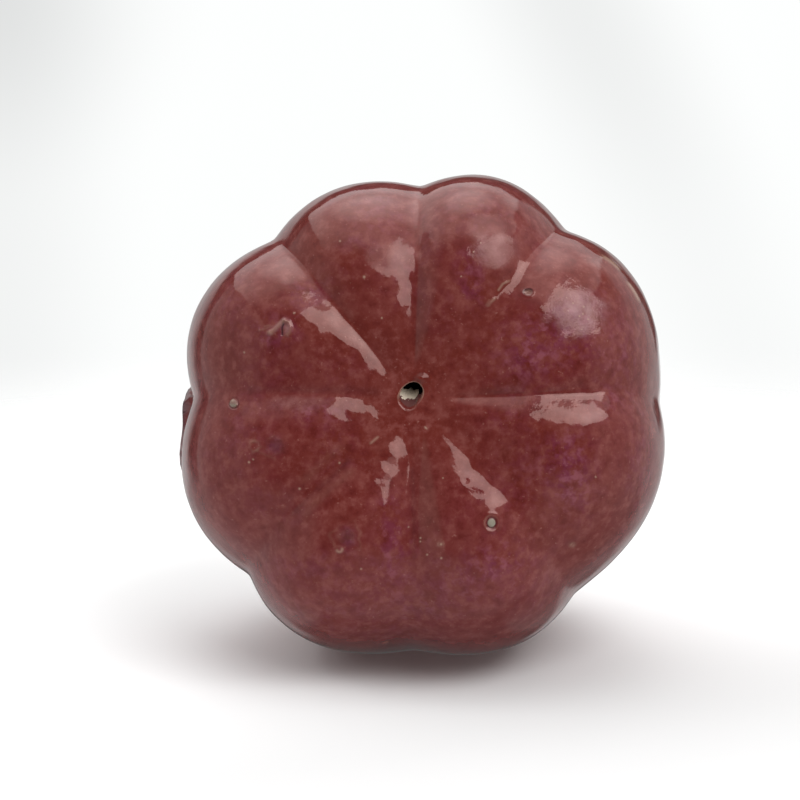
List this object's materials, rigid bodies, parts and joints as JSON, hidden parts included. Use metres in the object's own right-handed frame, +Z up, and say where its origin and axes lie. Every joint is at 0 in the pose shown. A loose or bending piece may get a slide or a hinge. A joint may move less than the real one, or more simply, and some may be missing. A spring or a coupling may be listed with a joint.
{
  "type": "glazed ceramic fruit ornament",
  "caption": "Hollow lobed ceramic fruit with an oxblood glaze, a vent hole in its base, a short stem and a leaf; it lies on its side as a table ornament.",
  "frame": {"origin": "on the table, under the middle of the bounding box", "axes": "+Z up as the fruit lies, -Y towards the side that the base with its vent hole faces, +X to the right as seen from there"},
  "size_m": [0.1074, 0.1138, 0.1069],
  "materials": {
    "oxblood_glaze": "glossy mottled copper-red glaze"
  },
  "bodies": {
    "root": {"ceramic_fruit": "oxblood_glaze"}
  },
  "joints": []
}
